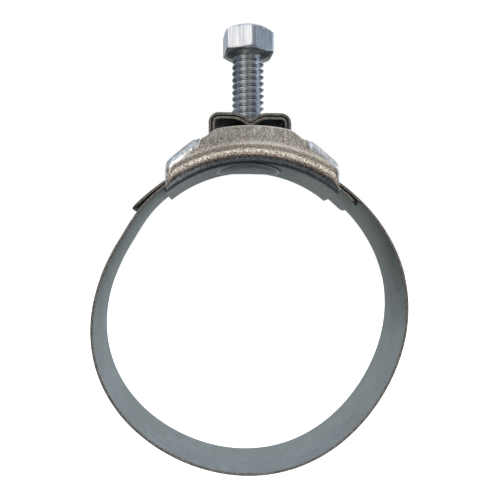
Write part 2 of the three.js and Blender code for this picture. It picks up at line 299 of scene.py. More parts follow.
def tab_path(layer, end_angle, per_square_degree, steps=60, crowding=1.6):
    """A tab's middle, with its last points crowded where the corners are rounded."""
    foot = math.copysign(TOWER_FOOT_ANGLE + TAB_TRAVEL_ANGLE, end_angle)
    shares = 1 - (1 - np.linspace(0, 1, steps + 1)) ** crowding
    angles = foot + (end_angle - foot) * shares
    return [on_saddle_arc(layer, degrees, per_square_degree) for degrees in angles]


def groove_dip(x):
    u = min(math.hypot(x, GROOVE_SOFTNESS) / math.hypot(GROOVE_HALF_WIDTH, GROOVE_SOFTNESS), 1)
    return GROOVE_DEPTH * (1 - math.sin(u * math.pi / 2))


def tower_half_path(inset, layer):
    """Half of a tower layer's middle, from the groove's bottom over the corner to the foot."""
    half_width = TOWER_HALF_WIDTH - STRAP_THICKNESS / 2 - inset
    top = TOWER_TOP_Z - STRAP_THICKNESS / 2 - inset
    corner = TOWER_CORNER - inset
    under = layer + STRAP_THICKNESS / 2
    foot = FLOOR_CENTRE_Z + math.sqrt(under**2 - half_width**2) + LEG_FOOT_GAP
    half = [(x, top - groove_dip(x)) for x in np.linspace(0, GROOVE_HALF_WIDTH, 60)]
    half.append((half_width - corner, top))
    for angle in np.linspace(90, 0, 25)[1:]:
        turn = math.radians(angle)
        x = half_width - corner + corner * math.cos(turn)
        half.append((x, top - corner + corner * math.sin(turn)))
    half.append((half_width, foot))
    return np.array(half)


def holed_sheet(half_length, half_width):
    """Points (along, across) and faces of a flat sheet with a round hole in its middle. The block
    round the hole is meshed in rings, and the rest as a grid."""
    side = np.linspace(-BLOCK_HALF, BLOCK_HALF, 25)

    def grid_lines(half_size, count):
        before = np.linspace(-half_size, -BLOCK_HALF, count)[:-1]
        after = np.linspace(BLOCK_HALF, half_size, count)[1:]
        return [*before, *side, *after]

    alongs, acrosses = grid_lines(half_length, 64), grid_lines(half_width, 5)
    points, faces, index = [], [], {}

    def point(along, across):
        key = round(along, 5), round(across, 5)
        if key not in index:
            index[key] = len(points)
            points.append((along, across))
        return index[key]

    for a, b in zip(alongs, alongs[1:]):
        for c, d in zip(acrosses, acrosses[1:]):
            if max(abs(a + b), abs(c + d)) / 2 > BLOCK_HALF:
                faces.append((point(a, c), point(b, c), point(b, d), point(a, d)))
    border = [(v, -BLOCK_HALF) for v in side[:-1]] + [(BLOCK_HALF, v) for v in side[:-1]]
    border += [(v, BLOCK_HALF) for v in side[:0:-1]] + [(-BLOCK_HALF, v) for v in side[:0:-1]]
    rings = []
    for share in np.linspace(0, 1, 13) ** 1.25:
        ring = []
        for along, across in border:
            reach = math.hypot(along, across)
            scale = (HOLE_RADIUS + (reach - HOLE_RADIUS) * share) / reach
            ring.append(point(along * scale, across * scale))
        rings.append(ring)
    for inner, outer in zip(rings, rings[1:]):
        for i in range(len(border)):
            k = (i + 1) % len(border)
            faces.append((inner[i], outer[i], outer[k], inner[k]))
    return points, faces


def tower_layer(name, inset, layer):
    """One layer of the tower: a holed strip bent over the top and down both legs. Its material slots
    are the outer face, the cut edges and the inner face."""
    half = tower_half_path(inset, layer)
    lengths = np.concatenate([[0], np.cumsum(np.linalg.norm(np.diff(half, axis=0), axis=1))])
    flat, faces = holed_sheet(lengths[-1], STRAP_WIDTH / 2)
    points = []
    for along, across in flat:
        x = math.copysign(np.interp(abs(along), lengths, half[:, 0]), along)
        z = np.interp(abs(along), lengths, half[:, 1])
        reach = math.hypot(along, across)
        z -= HOLE_LIP * (1 - ramp(reach, HOLE_RADIUS, BLOCK_HALF)) ** 2
        points.append((x, across, z))
    rolled = [(along, across, 0) for along, across in flat]
    obj = mesh_object(name, points, faces, rolled)
    sheet = obj.modifiers.new("sheet", "SOLIDIFY")
    sheet.thickness, sheet.offset = STRAP_THICKNESS * MM, 0
    sheet.use_even_offset, sheet.use_rim = True, True
    sheet.material_offset, sheet.material_offset_rim = 2, 1
    soft = obj.modifiers.new("edges", "BEVEL")
    soft.width, soft.segments, soft.limit_method = STRAP_EDGE * MM, 2, "ANGLE"
    soft.angle_limit = math.radians(50)
    soft.use_clamp_overlap = False
    for _ in range(3):
        obj.data.materials.append(None)
    graph = bpy.context.evaluated_depsgraph_get()
    made = bpy.data.meshes.new_from_object(obj.evaluated_get(graph))
    obj.modifiers.clear()
    obj.data = made
    made.set_sharp_from_angle(angle=math.radians(35))
    return obj


# ---- Saddle ----


def wall_height(x):
    d = abs(x)
    return (
        WALL_CENTRE
        + (WALL_SHOULDER - WALL_CENTRE) * ramp(d, STATION_CENTRE, STATION_SHOULDER)
        + (WALL_FLAP - WALL_SHOULDER) * ramp(d, STATION_SHOULDER, STATION_FLAP)
        + (WALL_END - WALL_FLAP) * max(d - STATION_FLAP, 0) / (SADDLE_HALF_LENGTH - STATION_FLAP)
    )


def seat_dip(x, y):
    reach = math.hypot(x, y)
    cup = 1 - ramp(reach, SEAT_FLAT_RADIUS, SEAT_RADIUS)
    coined = 1 - ramp(reach, SEAT_RADIUS - SEAT_STEP_WIDTH, SEAT_RADIUS)
    return (SEAT_DEPTH - SEAT_STEP) * cup + SEAT_STEP * coined


def saddle_section(x):
    """Half of the sheet's section at a station: (distance from the middle, height, heading)."""
    folded = ramp(abs(x), *FOLD_STATIONS)
    fold_angle = math.radians(UPRIGHT_FOLD + (90 - UPRIGHT_FOLD) * folded)
    flap = LIP + (FLAP_LENGTH - LIP) * ramp(folded, FLAP_START, 1)
    middle = SHEET / 2
    shortest_wall = 0.05
    fold_radius = min(FOLD_RADIUS, wall_height(x) - SHEET - ROLL_RADIUS - shortest_wall)
    points = [(y, middle, 0.0) for y in np.linspace(0, FLOOR_FLAT_HALF, 28)]
    y, height, heading = FLOOR_FLAT_HALF, middle, 0.0

    def run(length, steps):
        nonlocal y, height
        for _ in range(steps):
            y += length / steps * math.cos(heading)
            height += length / steps * math.sin(heading)
            points.append((y, height, heading))

    def bend(radius, angle, steps):
        nonlocal y, height, heading
        chord = 2 * radius * math.sin(angle / steps / 2)
        for _ in range(steps):
            heading += angle / steps / 2
            y += chord * math.cos(heading)
            height += chord * math.sin(heading)
            heading += angle / steps / 2
            points.append((y, height, heading))

    bend(ROLL_RADIUS, math.pi / 2, 16)
    fold_rise = fold_radius * math.sin(fold_angle) + LIP * math.cos(fold_angle)
    wall = wall_height(x) - middle * math.sin(fold_angle) - height - fold_rise
    lean = WALL_LEAN * (1 - folded)
    below, leaning, above = WALL_SHARES
    lean_steps = 8
    run(wall * below, 1)
    for _ in range(lean_steps):
        heading += lean / lean_steps
        run(wall * leaning / lean_steps, 1)
    run(wall * above, 3)
    bend(fold_radius, fold_angle - lean, 16)
    run(flap, 6)
    near_end = ramp_linear(abs(x), SADDLE_HALF_LENGTH - END_ROUND_LENGTH, SADDLE_HALF_LENGTH)
    turned_in = END_ROUND * (1 - math.sqrt(1 - near_end**2))
    return [
        (y - turned_in * ramp(height, *END_ROUND_HEIGHTS), height, heading) for y, height, heading in points
    ]


def saddle_stations(inner):
    """Places along X where the saddle's section is taken, closest at the folds and the two ends. The
    last but one stands at inner."""
    half = []
    for start, end, count in ((0, 9.5, 54), (9.6, 11.1, 28), (11.2, 14.6, 20)):
        half += list(np.linspace(start, end, count))
    last_run = 14.7
    half += list(last_run + (inner - last_run) * np.sin(np.linspace(0, math.pi / 2, 20)))
    half.append(SADDLE_HALF_LENGTH)
    return [-x for x in reversed(half[1:])] + half


def saddle():
    """The sheet's outline at each station is a closed ring: out along its underside, round the
    cut edge, back along its upper side and round the other cut edge."""
    round_off = 0.22
    inner = SADDLE_HALF_LENGTH - round_off
    stations = saddle_stations(inner)
    points, rolled, faces, edge_faces, from_tip = [], [], [], [], []
    for x in stations:
        end = abs(x) > inner + 0.01
        half = saddle_section(x)
        row = [(y, h, a, -1) for y, h, a in reversed(half[1:])] + [(y, h, a, 1) for y, h, a in half]
        last = len(row) - 1
        reach = SHEET / 2 - (round_off * 0.7 if end else 0)
        ring = []
        steps = [math.hypot(b[3] * b[0] - a[3] * a[0], b[1] - a[1]) for a, b in zip(row, row[1:])]
        lengths = np.concatenate([[0], np.cumsum(steps)])
        for face in (1, -1):
            order = range(last + 1) if face > 0 else range(last, -1, -1)
            for j in order:
                y, height, heading, side = row[j]
                tip = j in (0, last)
                out = face * (reach - (round_off * 0.75 if tip else 0))
                ring.append(
                    (
                        side * (y + out * math.sin(heading)),
                        height - out * math.cos(heading) - seat_dip(x, y),
                        lengths[j] - lengths[-1] / 2,
                        out,
                    )
                )
        for y, height, across, out in ring:
            radius = FLOOR_RADIUS + height
            points.append((x + SADDLE_SHIFT, y, FLOOR_CENTRE_Z + math.sqrt(radius**2 - x**2)))
            rolled.append((x, across, out))
            from_tip.append(lengths[-1] / 2 - abs(across))
    size = len(points) // len(stations)
    half = size // 2
    for i in range(len(stations) - 1):
        a, b = i * size, (i + 1) * size
        for j in range(size):
            k = (j + 1) % size
            # Faces this close to the cut edge take its brighter colour: painted highlight along the rim.
            if max(from_tip[a + j], from_tip[a + k]) < RIM_HIGHLIGHT_REACH:
                edge_faces.append(len(faces))
            faces.append((a + j, a + k, b + k, b + j))
    for start in (0, (len(stations) - 1) * size):
        for j in range(half - 1):
            edge_faces.append(len(faces))
            faces.append((start + j, start + j + 1, start + size - 2 - j, start + size - 1 - j))
    return mesh_object("saddle_shell", points, faces, rolled, edge_faces)


# ---- Screw ----


def thread_radius(angle, z):
    """Radius of the right-hand thread, with narrow crests and round roots."""
    phase = ((z - CREST_Z) / THREAD_PITCH - angle / (2 * math.pi)) % 1
    from_crest = min(phase, 1 - phase) * 2
    flank = min(max((from_crest - CREST_SHARE) / FLANK_SHARE, 0), 1)
    eased = flank + 0.06 * math.sin(2 * math.pi * flank)
    return THREAD_RADIUS - THREAD_DEPTH * eased


def shank_radius(angle, z):
    tip = SCREW_LOW.z
    radius = thread_radius(angle, z)
    chamfer = THREAD_RADIUS - TIP_CHAMFER + max(z - tip, 0)
    fillet_start = HEAD_SEAT_Z - COLLAR_HEIGHT
    neck = THREAD_RADIUS * ramp(z, fillet_start - NECK_LENGTH, fillet_start - 0.1)
    return max(min(radius, chamfer), neck)


def hexagon_radius(angle):
    """Distance from the axis to the head's side, with slightly rounded corners."""
    total = 0.0
    for k in range(6):
        facing = math.cos(angle - math.radians(HEAD_CORNER_ANGLE + 30 + 60 * k))
        total += max(facing, 0) ** HEAD_SHARPNESS
    return ACROSS_FLATS / 2 / total ** (1 / HEAD_SHARPNESS)


def head_profile(angle):
    """(radius, z) points from the shank out under the collar, up the side and in over the top. The
    points stand close together round the head's edges."""
    side = hexagon_radius(angle)
    half = ACROSS_FLATS / 2
    top_flat = half * 0.93  # radius of the flat on top
    seat, top = HEAD_SEAT_Z, HEAD_SEAT_Z + HEAD_HEIGHT
    over = max(side - half, 0)
    low = seat + 0.16 + over * 0.4
    high = top - 0.12 - max(side - top_flat, 0) * HEAD_CHAMFER_SLOPE
    collar = [(THREAD_RADIUS, seat - COLLAR_HEIGHT - 0.1), (THREAD_RADIUS + 0.12, seat - COLLAR_HEIGHT)]
    collar += [(COLLAR_RADIUS - 0.1, seat - 0.16), (COLLAR_RADIUS, seat - 0.08), (COLLAR_RADIUS, seat)]
    under = [(half - 0.3, seat), (half - 0.14, seat + 0.02), (side - 0.12 - over * 0.25, low - 0.12)]
    wall = [(side - 0.035, low - 0.02), (side, low + 0.1)]
    wall += [(side, low + (high - low) * share) for share in (0.15, 0.35, 0.5, 0.65, 0.85)]
    wall += [(side, high - 0.05), (side - 0.05, high + 0.03)]
    cover = [(top_flat, top - 0.05), (top_flat - 0.12, top), (half * 0.6, top), (half * 0.3, top)]
    return collar + under + wall + cover


def screw():
    """One surface from the tip's middle, up the thread and over the head."""
    sector = []
    crowding = 0.45  # how much closer the points stand at the hexagon's corners
    for k in range(6):
        for share in np.linspace(0, 1, 24, endpoint=False):
            eased = 0.5 - 0.5 * math.cos(math.pi * share)
            turn = k + crowding * eased + (1 - crowding) * share
            sector.append(math.radians(HEAD_CORNER_ANGLE + 60 * turn))
    around = len(sector)
    tip, top = SCREW_LOW.z, HEAD_SEAT_Z - COLLAR_HEIGHT - 0.1
    per_pitch = 14
    rows = math.ceil(((top - tip) / THREAD_PITCH + 1) * per_pitch)
    points, faces = [], []
    for j in range(rows + 1):
        for angle in sector:
            turn = (angle - sector[0]) / (2 * math.pi)
            z = tip + THREAD_PITCH * (j / per_pitch + turn - 1)
            z = min(max(z, tip), top)
            radius = shank_radius(angle, z)
            points.append((radius * math.cos(angle), radius * math.sin(angle), z))
    profiles = [head_profile(angle) for angle in sector]
    for j in range(len(profiles[0])):
        for angle, profile in zip(sector, profiles):
            radius, z = profile[j]
            points.append((radius * math.cos(angle), radius * math.sin(angle), z))
    total = rows + 1 + len(profiles[0])
    for j in range(total - 1):
        for i in range(around):
            k = (i + 1) % around
            # Where the thread comes round, a row meets the row one pitch above it.
            climb = per_pitch if k == 0 and j <= rows else 0
            low = min(j + climb, max(j, rows))
            high = min(j + 1 + climb, max(j + 1, rows))
            faces.append((j * around + i, low * around + k, high * around + k, (j + 1) * around + i))
    for row, z in ((0, tip), (total - 1, SCREW_HIGH.z)):
        for i in range(around):
            faces.append((row * around + i, row * around + (i + 1) % around, len(points)))
        points.append((0, 0, z))
    faces = [face for face in faces if len(set(face)) == len(face)]
    return mesh_object("screw_body", points, faces, sharp=32)


# ---- Materials ----


class Nodes:
    """A material's node tree, with short calls for the nodes that repeat."""

    def __init__(self, name):
        self.material = bpy.data.materials.new(name)
        self.material.use_nodes = True
        self.tree = self.material.node_tree
        self.shader = self.tree.nodes["Principled BSDF"]

    def add(self, kind, **settings):
        node = self.tree.nodes.new(kind)
        for key, value in settings.items():
            setattr(node, key, value)
        return node

    def link(self, output, target):
        self.tree.links.new(output, target)

    def place(self, attribute=None, scale=(1, 1, 1)):
        """Object coordinates, or a stored attribute, stretched by scale."""
        if attribute:
            source = self.add("ShaderNodeAttribute", attribute_name=attribute).outputs["Vector"]
        else:
            source = self.add("ShaderNodeTexCoord").outputs["Object"]
        mapping = self.add("ShaderNodeMapping")
        mapping.inputs["Scale"].default_value = scale
        self.link(source, mapping.inputs["Vector"])
        return mapping.outputs["Vector"]

    def split(self, vector):
        node = self.add("ShaderNodeSeparateXYZ")
        self.link(vector, node.inputs["Vector"])
        return node.outputs

    def from_axis(self):
        """Distance from the screw's axis."""
        node = self.add("ShaderNodeVectorMath", operation="LENGTH")
        self.link(self.place(scale=(1, 1, 0)), node.inputs[0])
        return node.outputs["Value"]

    def noise(self, place, scale, detail=3.0, roughness=0.5, distortion=0.0):
        node = self.add("ShaderNodeTexNoise")
        node.inputs["Scale"].default_value = scale
        node.inputs["Detail"].default_value = detail
        node.inputs["Roughness"].default_value = roughness
        node.inputs["Distortion"].default_value = distortion
        self.link(place, node.inputs["Vector"])
        return node.outputs["Fac"]

    def ramp(self, value, low, high, start=0.0, end=1.0):
        node = self.add("ShaderNodeMapRange", interpolation_type="SMOOTHSTEP")
        node.inputs["From Min"].default_value = low
        node.inputs["From Max"].default_value = high
        node.inputs["To Min"].default_value = start
        node.inputs["To Max"].default_value = end
        self.link(value, node.inputs["Value"])
        return node.outputs["Result"]

    def mix(self, factor, first, second):
        node = self.add("ShaderNodeMix", data_type="RGBA")
        for value, socket in ((factor, 0), (first, 6), (second, 7)):
            if hasattr(value, "is_linked"):
                self.link(value, node.inputs[socket])
            elif isinstance(value, tuple):
                node.inputs[socket].default_value = (*value, 1)
            else:
                node.inputs[socket].default_value = value
        return node.outputs[2]

    def times(self, first, second):
        return self.math("MULTIPLY", first, second)

    def band(self, value, start, full, full_end, end):
        """1 between full and full_end, fading to 0 at start and end. All are in millimetres."""
        rise = self.ramp(value, start * MM, full * MM)
        return self.times(rise, self.ramp(value, end * MM, full_end * MM))

    def math(self, operation, first, second):
        node = self.add("ShaderNodeMath", operation=operation)
        for value, socket in ((first, 0), (second, 1)):
            if hasattr(value, "is_linked"):
                self.link(value, node.inputs[socket])
            else:
                node.inputs[socket].default_value = value
        return node.outputs[0]

    def bump(self, *layers):
        """Bumps laid over each other, each as (height, strength, depth in millimetres)."""
        normal = None
        for height, strength, depth in layers:
            node = self.add("ShaderNodeBump")
            node.inputs["Strength"].default_value = strength
            node.inputs["Distance"].default_value = depth * MM
            self.link(height, node.inputs["Height"])
            if normal:
                self.link(normal, node.inputs["Normal"])
            normal = node.outputs["Normal"]
        self.link(normal, self.shader.inputs["Normal"])

    def metal(self, color, roughness):
        self.shader.inputs["Metallic"].default_value = 1.0
        self.link(color, self.shader.inputs["Base Color"])
        self.link(roughness, self.shader.inputs["Roughness"])
        return self.material


def strap_face():
    """Satin galvanised strip: even grey with faint lines along the rolling and soft stains."""
    n = Nodes("strap_satin_steel")
    sheet = n.place("rolled")
    lines = n.noise(n.place("rolled", (60, 2400, 1)), 1.0, 2.0)
    stains = n.noise(sheet, 160, 4.0, 0.6, 0.4)
    grain = n.noise(sheet, 4200, 3.0)
    blotches = n.noise(sheet, 700, 4.0, 0.65)
    tone = n.mix(n.ramp(stains, 0.35, 0.7), (0.345, 0.364, 0.362), (0.43, 0.449, 0.442))
    tone = n.mix(n.ramp(blotches, 0.5, 0.7, 0, 0.4), tone, (0.24, 0.248, 0.238))
    tone = n.mix(n.ramp(lines, 0.45, 0.8, 0, 0.35), tone, (0.43, 0.45, 0.445))
    tone = n.mix(n.ramp(grain, 0.3, 0.75, 0, 0.3), tone, (0.275, 0.29, 0.292))
    rough = n.math("ADD", n.ramp(stains, 0.3, 0.75, 0.40, 0.50), n.ramp(lines, 0.4, 0.8, 0, 0.06))
    n.bump((grain, 0.5, 0.012), (lines, 0.3, 0.006), (blotches, 0.3, 0.02))
    return n.metal(tone, rough)


def tower_inside_painted_shade():
    """The tower's inside: near-black dull steel, painted shade for the tower's shadowed inside."""
    n = Nodes("strap_inside_painted_shade")
    stains = n.noise(n.place("rolled"), 420, 4.0, 0.6, 0.4)
    tone = n.mix(n.ramp(stains, 0.35, 0.7), (0.012, 0.012, 0.011), (0.035, 0.034, 0.031))
    n.bump((stains, 0.3, 0.02))
    return n.metal(tone, n.ramp(stains, 0.3, 0.75, 0.6, 0.45))


def strap_edge():
    """The strip's sheared edge: darker and warmer, with small bright facets."""
    n = Nodes("strap_sheared_edge")
    place = n.place()
    pits = n.noise(place, 4200, 4.0, 0.65)
    sparks = n.noise(place, 2700, 2.0)
    tone = n.mix(n.ramp(pits, 0.35, 0.65), (0.10, 0.096, 0.092), (0.30, 0.29, 0.275))
    tone = n.mix(n.ramp(sparks, 0.65, 0.74), tone, (0.66, 0.65, 0.62))
    rough = n.ramp(pits, 0.3, 0.7, 0.5, 0.3)
    n.bump((pits, 0.8, 0.03))
    return n.metal(tone, rough)


def saddle_face():
    """Bright zinc on pressed steel: grains as coarse as the plating and fine upright drawing lines on the
    walls. The floor is left dull and darkened as painted shade, most round the screw's seat, with a light
    ring painted round the seat's rim. Each wall carries a painted dark reflection line at its foot and a
    painted highlight line a little above it, and the walls are darker in mottled patches. Places on the
    sheet are measured from its middle, across it and along the strap."""
    n = Nodes("saddle_bright_zinc")
    place = n.place()
    mottle = n.noise(place, 900, 4.0, 0.6, 0.3)
    clouds = n.noise(place, 140, 3.0, 0.5)
    drawn = n.noise(n.place(scale=(2600, 500, 160)), 1.0, 3.0, 0.6)
    sheet = n.split(n.add("ShaderNodeAttribute", attribute_name="rolled").outputs["Vector"])
    across = n.math("ABSOLUTE", sheet["Y"], 0.0)
    along = n.math("ABSOLUTE", sheet["X"], 0.0)
    on_wall = n.ramp(across, 9.5 * MM, 11.5 * MM)
    on_floor = n.ramp(across, 7.6 * MM, 6.4 * MM)
    on_fold = n.times(n.ramp(along, 9.8 * MM, 10.8 * MM), n.ramp(across, 10.6 * MM, 11.6 * MM))
    # The grains are weaker where the sheet is folded.
    kept = n.math("SUBTRACT", 1.0, n.times(on_fold, 0.7))
    grains = n.math("SUBTRACT", n.noise(place, 3900, 3.0, 0.6), 0.5)
    grains = n.math("ADD", n.times(grains, kept), 0.5)
    tone = n.mix(n.ramp(clouds, 0.38, 0.62), (0.54, 0.52, 0.49), (0.68, 0.67, 0.65))
    tone = n.mix(n.ramp(mottle, 0.42, 0.72, 0, 0.5), tone, (0.42, 0.385, 0.34))
    tone = n.mix(n.ramp(grains, 0.52, 0.60, 0, 0.9), tone, (0.98, 0.96, 0.92))
    tone = n.mix(n.ramp(grains, 0.49, 0.38, 0, 0.85), tone, (0.17, 0.14, 0.125))
    # The walls are darker in mottled patches.
    wall_dark_mottle = n.times(on_wall, n.ramp(mottle, 0.66, 0.4, 0.1, 0.6))
    tone = n.mix(wall_dark_mottle, tone, (0.30, 0.275, 0.25))
    streaks = n.times(on_wall, n.ramp(drawn, 0.52, 0.66, 0, 0.7))
    tone = n.mix(streaks, tone, (0.88, 0.87, 0.85))
    # Painted dark reflection: a dark line along the top of the roll and the foot of each wall.
    dark_reflection_line = n.band(across, 8.95, 9.3, 9.55, 9.85)
    tone = n.mix(n.times(dark_reflection_line, 0.5), tone, (0.20, 0.18, 0.165))
    # Painted highlight: a bright line a little up each wall, broken up by the clouds.
    highlight_line_painted = n.times(n.band(across, 9.75, 10.0, 10.1, 10.6), n.ramp(clouds, 0.35, 0.55, 0.25, 0.8))
    tone = n.mix(highlight_line_painted, tone, (0.98, 0.96, 0.92))
    # Painted shade: the floor is darkened all over, most round the screw's seat.
    painted_shade_by_seat = n.times(on_floor, n.ramp(along, 15 * MM, 6 * MM, 0.68, 1))
    tone = n.mix(n.times(painted_shade_by_seat, 0.95), tone, (0.06, 0.073, 0.08))
    # A light ring painted round the seat's rim.
    rim = n.band(n.from_axis(), SEAT_RADIUS - 0.6, SEAT_RADIUS - 0.35, SEAT_RADIUS - 0.25, SEAT_RADIUS)
    tone = n.mix(n.times(n.times(rim, on_floor), 0.6), tone, (0.85, 0.87, 0.88))
    rough = n.math("ADD", n.ramp(mottle, 0.3, 0.7, 0.12, 0.20), n.ramp(grains, 0.35, 0.7, 0.07, 0))
    rough = n.math("ADD", rough, n.times(on_floor, 0.14))
    n.bump((grains, 0.9, 0.06), (mottle, 0.4, 0.04), (n.times(drawn, on_wall), 0.4, 0.02))
    return n.metal(tone, rough)


def saddle_edge():
    """The saddle's cut edge, brighter than its faces: partly the edge's own colour, partly a painted
    highlight along the rim, which also covers a thin strip of the wall below the edge.
    """
    n = Nodes("saddle_cut_edge")
    lines = n.noise(n.place("rolled", (900, 300, 3000)), 1.0, 3.0)
    tone = n.mix(n.ramp(lines, 0.3, 0.7), (0.62, 0.61, 0.58), (0.92, 0.91, 0.88))
    n.bump((lines, 0.4, 0.02))
    return n.metal(tone, n.ramp(lines, 0.3, 0.7, 0.34, 0.24))


def screw_face():
    """Bluish zinc: drawn lines down the head's sides, with painted shade in the thread roots and under the
    head at the neck.
    """
    n = Nodes("screw_blue_zinc")
    place = n.place()
    drawn = n.noise(n.place(scale=(2300, 2300, 90)), 1.0, 4.0, 0.6)
    broad = n.noise(n.place(scale=(700, 700, 60)), 1.0, 2.0)
    grain = n.noise(place, 3600, 4.0, 0.6)
    height = n.split(place)["Z"]
    on_head = n.ramp(height, (HEAD_SEAT_Z + 0.1) * MM, (HEAD_SEAT_Z + 0.5) * MM)
    tone = n.mix(n.ramp(grain, 0.35, 0.7), (0.55, 0.585, 0.63), (0.64, 0.67, 0.71))
    tone = n.mix(n.times(n.ramp(drawn, 0.42, 0.62, 0.7, 0), on_head), tone, (0.36, 0.38, 0.42))
    # Painted shade: the thread's roots darker than its crests.
    root = n.ramp(n.from_axis(), 2.95 * MM, 2.5 * MM)
    in_thread = n.times(root, n.math("SUBTRACT", 1.0, on_head))
    tone = n.mix(n.times(in_thread, 0.55), tone, (0.22, 0.23, 0.25))
    # Painted shade under the head: the neck, the collar and the head's underside darker.
    collar = HEAD_SEAT_Z - COLLAR_HEIGHT
    neck = n.band(height, collar - NECK_LENGTH, collar, HEAD_SEAT_Z + 0.04, HEAD_SEAT_Z + 0.16)
    tone = n.mix(n.times(neck, 0.75), tone, (0.15, 0.14, 0.12))
    rough = n.math("ADD", n.ramp(grain, 0.3, 0.7, 0.2, 0.3), n.ramp(broad, 0.3, 0.7, 0, 0.08))
    lines = n.times(n.math("ADD", drawn, broad), on_head)
    n.bump((lines, 0.5, 0.035), (grain, 0.35, 0.014))
    return n.metal(tone, rough)


def dress(obj, node_slot, *materials):
    """Fills the object's material slots in order. node_slot is not used."""
    slots = obj.data.materials
    while len(slots) < len(materials):
        slots.append(None)
    for index, material in enumerate(materials):
        slots[index] = material


# ---- The clamp ----

strap_steel, strap_cut, strap_dark = strap_face(), strap_edge(), tower_inside_painted_shade()
saddle_zinc, saddle_cut = saddle_face(), saddle_edge()
screw_zinc = screw_face()

saddle_shell = saddle()
dress(saddle_shell, "saddle_zinc", saddle_zinc, saddle_cut)
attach(saddle_shell, "saddle")
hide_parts("saddle")

loop = strip("strap_band", loop_path(), full_width)
dress(loop, "strap_steel", strap_steel, strap_cut)
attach(loop, "saddle")
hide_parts("strap_loop")

for side, layer, end_angle, tab_bow in (
    ("inner", LOWER_LAYER, INNER_TAB_END, INNER_TAB_BOW),
    ("outer", UPPER_LAYER, OUTER_TAB_END, OUTER_TAB_BOW),
):
    tab = strip(f"strap_{side}_end", tab_path(layer, end_angle, tab_bow), rounded_end)
    dress(tab, "strap_steel", strap_steel, strap_cut)
    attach(tab, f"{side}_tab")
    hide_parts(f"strap_{side}_tab")

for side, inset, layer, inside in (
    # The inner layer's inside face takes the near-black painted shade.
    ("inner", TOWER_PITCH, LOWER_LAYER, strap_dark),
    ("outer", 0, UPPER_LAYER, strap_steel),
):
    plate = tower_layer(f"tower_{side}_layer", inset, layer)
    dress(plate, "strap_steel", strap_steel, strap_cut, inside)
    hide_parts(f"strap_tower_{side}")
    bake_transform(plate)

screw_piece = screw()
dress(screw_piece, "screw_zinc", screw_zinc)
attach(screw_piece, "screw")
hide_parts("screw")

# ---- Stage, light and camera ----


FLOOR_DROP = 130  # how far the floor lies below the loop's centre
SADDLE_HEIGHT = 30
HORIZON = (-0.14, 0.06)  # heights of the unit direction over which the studio's two halves meet
CAMERA_PLACE = (-6.72, -101.91, 11.82)
CAMERA_LENS, CAMERA_SENSOR = 36.53, 36
CAMERA_YAW, CAMERA_PITCH = math.radians(4.0), math.radians(0.42)


def white_floor():
    """A wide pale floor below the clamp, which hangs above it. The steel doesn't reflect it."""
    work = bmesh.new()
    bmesh.ops.create_grid(work, x_segments=8, y_segments=8, size=3)
    mesh = bpy.data.meshes.new("floor")
    work.to_mesh(mesh)
    work.free()
    obj = bpy.data.objects.new("floor", mesh)
    bpy.context.scene.collection.objects.link(obj)
    obj.location.z = -FLOOR_DROP * MM
    n = Nodes("floor_paper")
    n.shader.inputs["Base Color"].default_value = (0.9, 0.9, 0.9, 1)
    n.shader.inputs["Roughness"].default_value = 0.9
    n.shader.inputs["Emission Color"].default_value = (1, 1, 1, 1)
    n.shader.inputs["Emission Strength"].default_value = 0.9
    mesh.materials.append(n.material)
    obj.visible_glossy = False
    obj.visible_diffuse = False


def towards(azimuth, elevation):
    """Unit vector from the clamp. Azimuth 0 is the camera's side, 90 is +X and 180 is behind."""
    a, e = math.radians(azimuth), math.radians(elevation)
    return Vector((math.sin(a) * math.cos(e), -math.cos(a) * math.cos(e), math.sin(e)))


# The studio as the steel sees it, below and above the horizon. Each half changes from the camera's
# side (-1) to behind (1).
BELOW = (
    (-1.0, (0.95, 0.89, 0.81)),
    (-0.82, (0.95, 0.87, 0.77)),
    (-0.72, (0.62, 0.51, 0.45)),
    (-0.62, (0.16, 0.105, 0.095)),
    (-0.52, (0.05, 0.035, 0.038)),
    (-0.40, (0.02, 0.018, 0.02)),
    (-0.24, (0.09, 0.11, 0.13)),
    (0.60, (0.10, 0.115, 0.13)),
    (0.90, (0.09, 0.085, 0.07)),
    (1.0, (0.10, 0.10, 0.09)),
)
ABOVE = (
    (-1.0, (0.17, 0.155, 0.14)),
    (-0.965, (0.21, 0.195, 0.18)),
    (-0.90, (0.40, 0.385, 0.36)),
    (-0.78, (0.37, 0.355, 0.335)),
    (-0.5, (0.24, 0.225, 0.215)),
    (0.3, (0.40, 0.44, 0.50)),
    (1.0, (0.62, 0.69, 0.72)),
)
